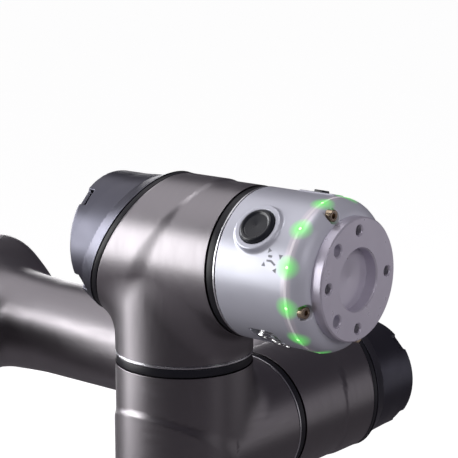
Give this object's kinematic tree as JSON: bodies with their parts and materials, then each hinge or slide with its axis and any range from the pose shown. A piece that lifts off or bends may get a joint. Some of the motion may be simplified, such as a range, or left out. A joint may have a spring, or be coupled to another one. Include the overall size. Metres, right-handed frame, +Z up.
{
  "type": "collaborative robot arm",
  "caption": "Jointed collaborative robot arm with round joint housings, slanted dark caps, black seals and a lit tool module with a drilled flange.",
  "frame": {"origin": "centre of the base's underside, on the base joint's axis", "axes": "+Z up along the base joint's axis, +X along the forearm's reach at rest, upper arm and wrist column on the -Y side"},
  "size_m": [0.5049, 0.269, 0.6251],
  "materials": {
    "cast_housing": "satin, warm grey metallic coat",
    "silver_paint": "fine silver paint, semi-gloss",
    "dark_cap": "moulded, satin, dark blue-grey",
    "black_seal": "smooth black",
    "bright_lip": "turned, bright",
    "flange_metal": "anodised, fine turned",
    "gear_steel": "ground",
    "motor_stator": "laminated, varnished windings",
    "motor_rotor": "ground",
    "connector_metal": "nickel plated",
    "screw_steel": "zinc plated",
    "light_guide": "translucent light guide",
    "button_black": "moulded, fine texture"
  },
  "bodies": {
    "base": {"base_housing": "cast_housing", "base_connector": "connector_metal", "j1_seal": "black_seal", "j1_gear_ring": "gear_steel", "j1_stator": "motor_stator"},
    "shoulder": {"shoulder_housing": "cast_housing", "shoulder_cap": "dark_cap", "shoulder_gasket": "black_seal", "j1_output_flange": "bright_lip", "j1_flexspline": "gear_steel", "j2_seal": "black_seal", "j2_gear_ring": "gear_steel", "j2_stator": "motor_stator"},
    "upper_arm": {"upper_arm_housing": "cast_housing", "upper_arm_cap": "dark_cap", "upper_arm_gasket": "black_seal", "j2_output_flange": "bright_lip", "j2_flexspline": "gear_steel", "j3_seal": "black_seal", "j3_gear_ring": "gear_steel", "j3_stator": "motor_stator"},
    "forearm": {"forearm_housing": "cast_housing", "forearm_cap": "dark_cap", "forearm_gasket": "black_seal", "j3_output_flange": "bright_lip", "j3_flexspline": "gear_steel", "j4_seal": "black_seal", "j4_gear_ring": "gear_steel", "j4_stator": "motor_stator"},
    "wrist1": {"wrist1_housing": "cast_housing", "wrist1_cap": "dark_cap", "wrist1_gasket": "black_seal", "j4_output_flange": "bright_lip", "j4_flexspline": "gear_steel", "j5_seal": "black_seal", "j5_gear_ring": "gear_steel", "j5_stator": "motor_stator"},
    "wrist2": {"wrist2_housing": "cast_housing", "wrist2_cap": "dark_cap", "wrist2_gasket": "black_seal", "j5_output_flange": "bright_lip", "j5_flexspline": "gear_steel", "j6_seal": "black_seal", "j6_gear_ring": "gear_steel", "j6_stator": "motor_stator"},
    "tool": {"tool_housing": "silver_paint", "tool_flange": "flange_metal", "tool_screws": "screw_steel", "tool_connector": "connector_metal", "light_ring": "light_guide", "j6_output_flange": "bright_lip", "j6_flexspline": "gear_steel"},
    "rotor1": {"j1_rotor": "motor_rotor"},
    "rotor2": {"j2_rotor": "motor_rotor"},
    "rotor3": {"j3_rotor": "motor_rotor"},
    "rotor4": {"j4_rotor": "motor_rotor"},
    "rotor5": {"j5_rotor": "motor_rotor"},
    "rotor6": {"j6_rotor": "motor_rotor"},
    "free_drive": {"free_drive_button": "button_black"},
    "point": {"point_button": "button_black"}
  },
  "joints": [
    {"name": "base_turn", "type": "hinge", "parent": "base", "child": "shoulder", "pos_m": [0, 0, 0.0741], "axis": [0, 0, 1], "range_deg": [-270, 270]},
    {"name": "shoulder_lift", "type": "hinge", "parent": "shoulder", "child": "upper_arm", "pos_m": [0, 0, 0.1451], "axis": [0, 1, 0], "range_deg": [-165, 180]},
    {"name": "elbow_bend", "type": "hinge", "parent": "upper_arm", "child": "forearm", "pos_m": [0, -0.131, 0.4741], "axis": [0, -1, 0], "range_deg": [-65, 220]},
    {"name": "wrist1_bend", "type": "hinge", "parent": "forearm", "child": "wrist1", "pos_m": [0.3115, 0, 0.4741], "axis": [0, 1, 0], "range_deg": [-75, 255]},
    {"name": "wrist2_turn", "type": "hinge", "parent": "wrist1", "child": "wrist2", "pos_m": [0.3115, -0.126, 0.4741], "axis": [0, 0, -1], "range_deg": [-60, 240]},
    {"name": "tool_turn", "type": "hinge", "parent": "wrist2", "child": "tool", "pos_m": [0.3115, -0.126, 0.5841], "axis": [1, 0, 0], "range_deg": [-270, 270]},
    {"name": "motor1_spin", "type": "hinge", "parent": "base", "child": "rotor1", "pos_m": [0, 0, 0.0741], "axis": [0, 0, 1], "range_deg": [-27010, 27010]},
    {"name": "motor2_spin", "type": "hinge", "parent": "shoulder", "child": "rotor2", "pos_m": [0, 0, 0.1451], "axis": [0, 1, 0], "range_deg": [-18010, 16510]},
    {"name": "motor3_spin", "type": "hinge", "parent": "upper_arm", "child": "rotor3", "pos_m": [0, -0.131, 0.4741], "axis": [0, -1, 0], "range_deg": [-22010, 6510]},
    {"name": "motor4_spin", "type": "hinge", "parent": "forearm", "child": "rotor4", "pos_m": [0.3115, 0, 0.4741], "axis": [0, 1, 0], "range_deg": [-25510, 7510]},
    {"name": "motor5_spin", "type": "hinge", "parent": "wrist1", "child": "rotor5", "pos_m": [0.3115, -0.126, 0.4741], "axis": [0, 0, -1], "range_deg": [-24010, 6010]},
    {"name": "motor6_spin", "type": "hinge", "parent": "wrist2", "child": "rotor6", "pos_m": [0.3115, -0.126, 0.5841], "axis": [1, 0, 0], "range_deg": [-27010, 27010]},
    {"name": "free_drive_press", "type": "slide", "parent": "tool", "child": "free_drive", "axis": [0, 0.7547, -0.6561], "range_m": [0, 0.0015], "stiffness_N_per_m": 2000, "springref_m": -0.001},
    {"name": "point_press", "type": "slide", "parent": "tool", "child": "point", "axis": [0, -0.2419, -0.9703], "range_m": [0, 0.0008], "stiffness_N_per_m": 2000, "springref_m": -0.001}
  ],
  "couplings": [
    {"joint": "motor1_spin", "follows": "base_turn", "ratio": -100},
    {"joint": "motor2_spin", "follows": "shoulder_lift", "ratio": -100},
    {"joint": "motor3_spin", "follows": "elbow_bend", "ratio": -100},
    {"joint": "motor4_spin", "follows": "wrist1_bend", "ratio": -100},
    {"joint": "motor5_spin", "follows": "wrist2_turn", "ratio": -100},
    {"joint": "motor6_spin", "follows": "tool_turn", "ratio": -100}
  ]
}
